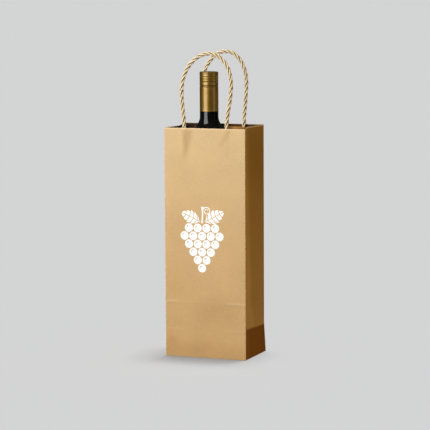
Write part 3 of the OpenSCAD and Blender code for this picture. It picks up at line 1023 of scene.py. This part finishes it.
def ribbon(line, widths):
    """A strip along a line."""
    way = np.gradient(line, axis=0)
    way /= np.linalg.norm(way, axis=1)[:, None]
    left = np.stack([-way[:, 1], way[:, 0]], axis=1) * widths[:, None] / 2
    return ink_film(between(line - left, line + left, 2))


def stem():
    """The stem, a little bent, with a wider cut end."""
    t = np.linspace(0, 1, 20)
    line = np.stack([1.2 * MM * np.sin(2.4 * t), 25.5 * MM + 25 * MM * t], axis=1)
    return ribbon(line, 2.2 * MM + 2.4 * MM * t ** 6)


def tendril():
    """A tendril that curls up beside the stem."""
    t = np.linspace(0, 1, 60)
    a = math.pi - 2 * math.pi * 1.55 * t
    r = (6.4 - 4.6 * t) * MM
    line = np.stack([7.8 * MM + r * np.cos(a), 44 * MM + r * np.sin(a)], axis=1)
    return ribbon(line, (1.5 - 0.8 * t) * MM)


def make_print():
    """The white motif: a generic bunch of grapes under two leaves."""
    row_h = GRAPE_PITCH * math.sqrt(3) / 2
    parts = [
        grape((c - (count - 1) / 2) * GRAPE_PITCH, TOP_ROW - r * row_h)
        for r, count in enumerate(GRAPE_ROWS) for c in range(count)
    ]
    parts += [
        leaf(-1.5 * MM, 27 * MM, 156, 34 * MM, 19 * MM),
        leaf(3.1 * MM, 26.5 * MM, 28, 36 * MM, 20 * MM),
        stem(),
        tendril(),
    ]
    motif = add_mesh("grape_print", *join(parts), smooth=False)
    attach(motif, "bag")
    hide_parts("print_motif")
    give(motif, INK)


make_print()


# ---- bottle and cap --------------------------------------------------------------------

ROUND = 128                      # sides of a turned piece


def turned(name, profile, sides=ROUND, ribs=None):
    """A closed profile of (radius, height) points turned round the bottle's axis."""
    points = []
    for radius, z in profile:
        for k in range(sides):
            a = 2 * math.pi * k / sides
            r = radius + (ribs(a, z, radius) if ribs else 0.0)
            points.append((BOTTLE_AXIS.x + r * math.cos(a), BOTTLE_AXIS.y + r * math.sin(a), z))
    return add_mesh(name, points, grid_faces(len(profile), sides, closed=True))


def arc(centre_r, centre_z, radius, start, end, steps=6):
    """Points of a profile along an arc, with its angles in degrees from outwards to up."""
    return [
        (centre_r + radius * math.cos(math.radians(a)), centre_z + radius * math.sin(math.radians(a)))
        for a in np.linspace(start, end, steps)
    ]


def make_bottle():
    """The bottle: pushed-in base, straight body, shoulder, neck and the finish under the cap."""
    foot_r = 3 * MM
    base = glass_low.z
    neck_z = CAP_TOP - 69 * MM
    shoulder_z = CAP_TOP - 108 * MM
    wall_t = 2.5 * MM
    finish_r = CAP_R - 0.9 * MM
    bore = 9.3 * MM
    tiny = 0.02 * MM
    punt_r = 0.72 * BOTTLE_R
    punt = [(punt_r * t + tiny, base + 20 * MM * (1 - t * t)) for t in np.linspace(0, 1, 14)]
    foot = arc(BOTTLE_R - foot_r, base + foot_r, foot_r, -90, 0, 7)

    def shoulder(r_neck, r_body):
        return [
            (r_neck + (r_body - r_neck) * (1 + math.cos(math.pi * t)) / 2,
             shoulder_z + (neck_z - shoulder_z) * t)
            for t in np.linspace(0, 1, 28)
        ]

    skirt_seat = CAP_R - 0.35 * MM
    outside = [
        (CAP_R - 0.05 * MM, SKIRT_BOTTOM - 0.8 * MM), (CAP_R - 0.1 * MM, SKIRT_BOTTOM - 0.2 * MM),
        (skirt_seat, SKIRT_BOTTOM), (skirt_seat, SKIRT_TOP), (finish_r, SKIRT_TOP + tiny),
        (finish_r, glass_high.z - 1 * MM), (finish_r - 1 * MM, glass_high.z),
        (bore + 1 * MM, glass_high.z), (bore, glass_high.z - 1 * MM),
    ]
    inside = [(r, z) for r, z in reversed(shoulder(bore, BOTTLE_R - wall_t))]
    floor_z = base + 5 * MM
    inside += [(BOTTLE_R - wall_t, floor_z + 3 * MM), (BOTTLE_R - wall_t - 3 * MM, floor_z)]
    inside += [(0.8 * (BOTTLE_R - wall_t) * t + tiny, floor_z + 24 * MM * (1 - t * t))
               for t in np.linspace(1, 0, 10)]
    body = [(BOTTLE_R, z) for z in np.linspace(base + 2 * foot_r, shoulder_z, 12)[:-1]]
    glass = turned("wine_bottle", punt + foot + body + shoulder(CAP_R, BOTTLE_R) + outside + inside)
    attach(glass, "bottle")
    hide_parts("bottle_glass")
    return give(glass, GLASS)


def groove(z, depth, half):
    """Profile points of a rolled groove in the cap's wall, from its lower side up. A depth below zero
    makes a bead."""
    return [
        (CAP_R, z - half), (CAP_R - depth * 0.35, z - half * 0.62), (CAP_R - depth, z - half * 0.2),
        (CAP_R - depth, z + half * 0.2), (CAP_R - depth * 0.35, z + half * 0.62), (CAP_R, z + half),
    ]


def make_cap():
    """The cap shell, with rolled grooves and a bead, a fine knurl and a rounded top edge."""
    edge_r = 1.6 * MM
    wall_in = CAP_R - 0.55 * MM
    top_in = CAP_TOP - 0.3 * MM
    bottom = cap_low.z
    grooves = []
    for depth_down, deep, half in ((15.3, 0.45, 1.0), (11.8, 0.12, 0.8), (9.2, -0.15, 0.9),
                                   (7.2, 0.45, 0.9)):
        grooves += groove(CAP_TOP - depth_down * MM, deep * MM, half * MM)
    knurl_low, knurl_high = CAP_TOP - 6.0 * MM, CAP_TOP - 2.2 * MM
    knurl = [(CAP_R, z) for z in (knurl_low - 0.1 * MM, knurl_low, knurl_high, knurl_high + 0.1 * MM)]
    top = arc(CAP_R - edge_r, CAP_TOP - edge_r, edge_r, 0, 90, 7)
    crown = [(CAP_R - 3.2 * MM, CAP_TOP - 0.02 * MM), (CAP_R - 3.7 * MM, CAP_TOP - 0.12 * MM),
             (0.02 * MM, CAP_TOP - 0.14 * MM)]
    inside = [(0.02 * MM, top_in), (wall_in - 0.9 * MM, top_in), (wall_in, CAP_TOP - edge_r),
              (wall_in, bottom)]
    rolled = [(CAP_R - 0.3 * MM, bottom), (CAP_R - 0.12 * MM, bottom + 0.35 * MM), (CAP_R, bottom + 1 * MM)]
    profile = rolled + grooves + knurl + top + crown + inside + rolled[:1]
    teeth = 90

    def ribs(a, z, radius):
        if radius > CAP_R - 0.01 * MM and knurl_low - 0.01 * MM <= z <= knurl_high + 0.01 * MM:
            return -0.06 * MM * (1 + math.cos(teeth * a)) / 2
        return 0.0

    cap = turned("screw_cap", profile, sides=360, ribs=ribs)
    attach(cap, "cap")
    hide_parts("cap_shell")
    return give(cap, GOLD)


def make_skirt():
    """The long skirt, grooved and turned in at the break line, with a small lip at its foot."""
    wall_in = CAP_R - 0.3 * MM
    lip = 0.22 * MM
    foot = [(wall_in, SKIRT_BOTTOM), (CAP_R + lip * 0.6, SKIRT_BOTTOM),
            (CAP_R + lip, SKIRT_BOTTOM + 0.3 * MM), (CAP_R + lip * 0.7, SKIRT_BOTTOM + 0.75 * MM),
            (CAP_R, SKIRT_BOTTOM + 1.0 * MM)]
    wall_points = [(CAP_R, z) for z in np.linspace(SKIRT_BOTTOM + 3 * MM, SKIRT_TOP - 4 * MM, 9)]
    wall_points += groove(SKIRT_TOP - 1.9 * MM, 0.25 * MM, 0.6 * MM)
    head = [(CAP_R, SKIRT_TOP - 1.1 * MM), (CAP_R - 0.12 * MM, SKIRT_TOP - 0.4 * MM),
            (CAP_R - 0.28 * MM, SKIRT_TOP), (wall_in, SKIRT_TOP)]
    skirt = turned("cap_skirt_sleeve", foot + wall_points + head + [(wall_in, SKIRT_BOTTOM)])
    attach(skirt, "bottle")
    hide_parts("cap_skirt")
    return give(skirt, GOLD)


bottle = make_bottle()
cap_pieces = [make_cap(), make_skirt()]
give_cad(["bottle_front_label", "bottle_back_label"], LABEL)
give_cad(["wine_fill"], WINE)
give_cad(["cap_liner"], LINER)


# ---- card pieces -----------------------------------------------------------------------

give_cad(["riser_cross_long", "riser_cross_short", "riser_deck"], CARD)
give_cad(["base_board"], GREY_BOARD)
for name in ("riser_cross_long", "riser_cross_short", "riser_deck", "base_board"):
    soften(frame["nodes"][name], 0.35 * MM)


# ---- lights ----------------------------------------------------------------------------

def make_lights():
    """A large soft key from the front left, a dim warm fill from the right and a light behind. The cap
    and the glass have lights of their own, set to suit the front view. The floor has two suns of its
    own, so that it stays even and only a soft shadow shows on it."""
    key = soft_box("key", direction(-16, 25), (0.9, 1.4), 33.2, (1.0, 0.98, 0.97), aim_z=0.34)
    fill = soft_box("fill", direction(120, 4), (0.8, 0.9), 8.9, (1.0, 0.68, 0.29), aim_z=0.10)
    back = soft_box("back", direction(245, 30), (0.9, 0.9), 12, (1.0, 0.96, 0.90))
    for light in (key, fill, back):
        light_all_but(light, [floor, bottle] + cap_pieces)
    cap_key = soft_box("cap_key", direction(-25, 14), (1.3, 1.8), 15, (1.0, 0.98, 0.955), aim_z=0.34)
    cap_fill = soft_box("cap_fill", direction(86, 6), (0.3, 1.4), 1.25, (1.0, 0.9, 0.6), aim_z=0.34)
    glass_key = soft_box("glass_key", direction(-22, 18), (1.1, 2.2), 200, (1.0, 1.0, 1.0), aim_z=0.34)
    glass_fill = soft_box("glass_fill", direction(92, 6), (0.12, 1.4), 0.9, (1.0, 1.0, 1.0), aim_z=0.34)
    for light in (cap_key, cap_fill):
        light_only(light, cap_pieces)
        no_shadow_of(light, handles)
    for light in (glass_key, glass_fill):
        light_only(light, [bottle])
        no_shadow_of(light, handles)
    for name, way, power in (("floor_above", direction(200, 84.2), 2.8),
                             ("floor_right", direction(146, 81), 2.7)):
        data = bpy.data.lights.new(name, "SUN")
        data.energy = power
        data.angle = math.radians(12)
        light_only(place_light(data, way, 2.0, 0), [floor])


make_lights()
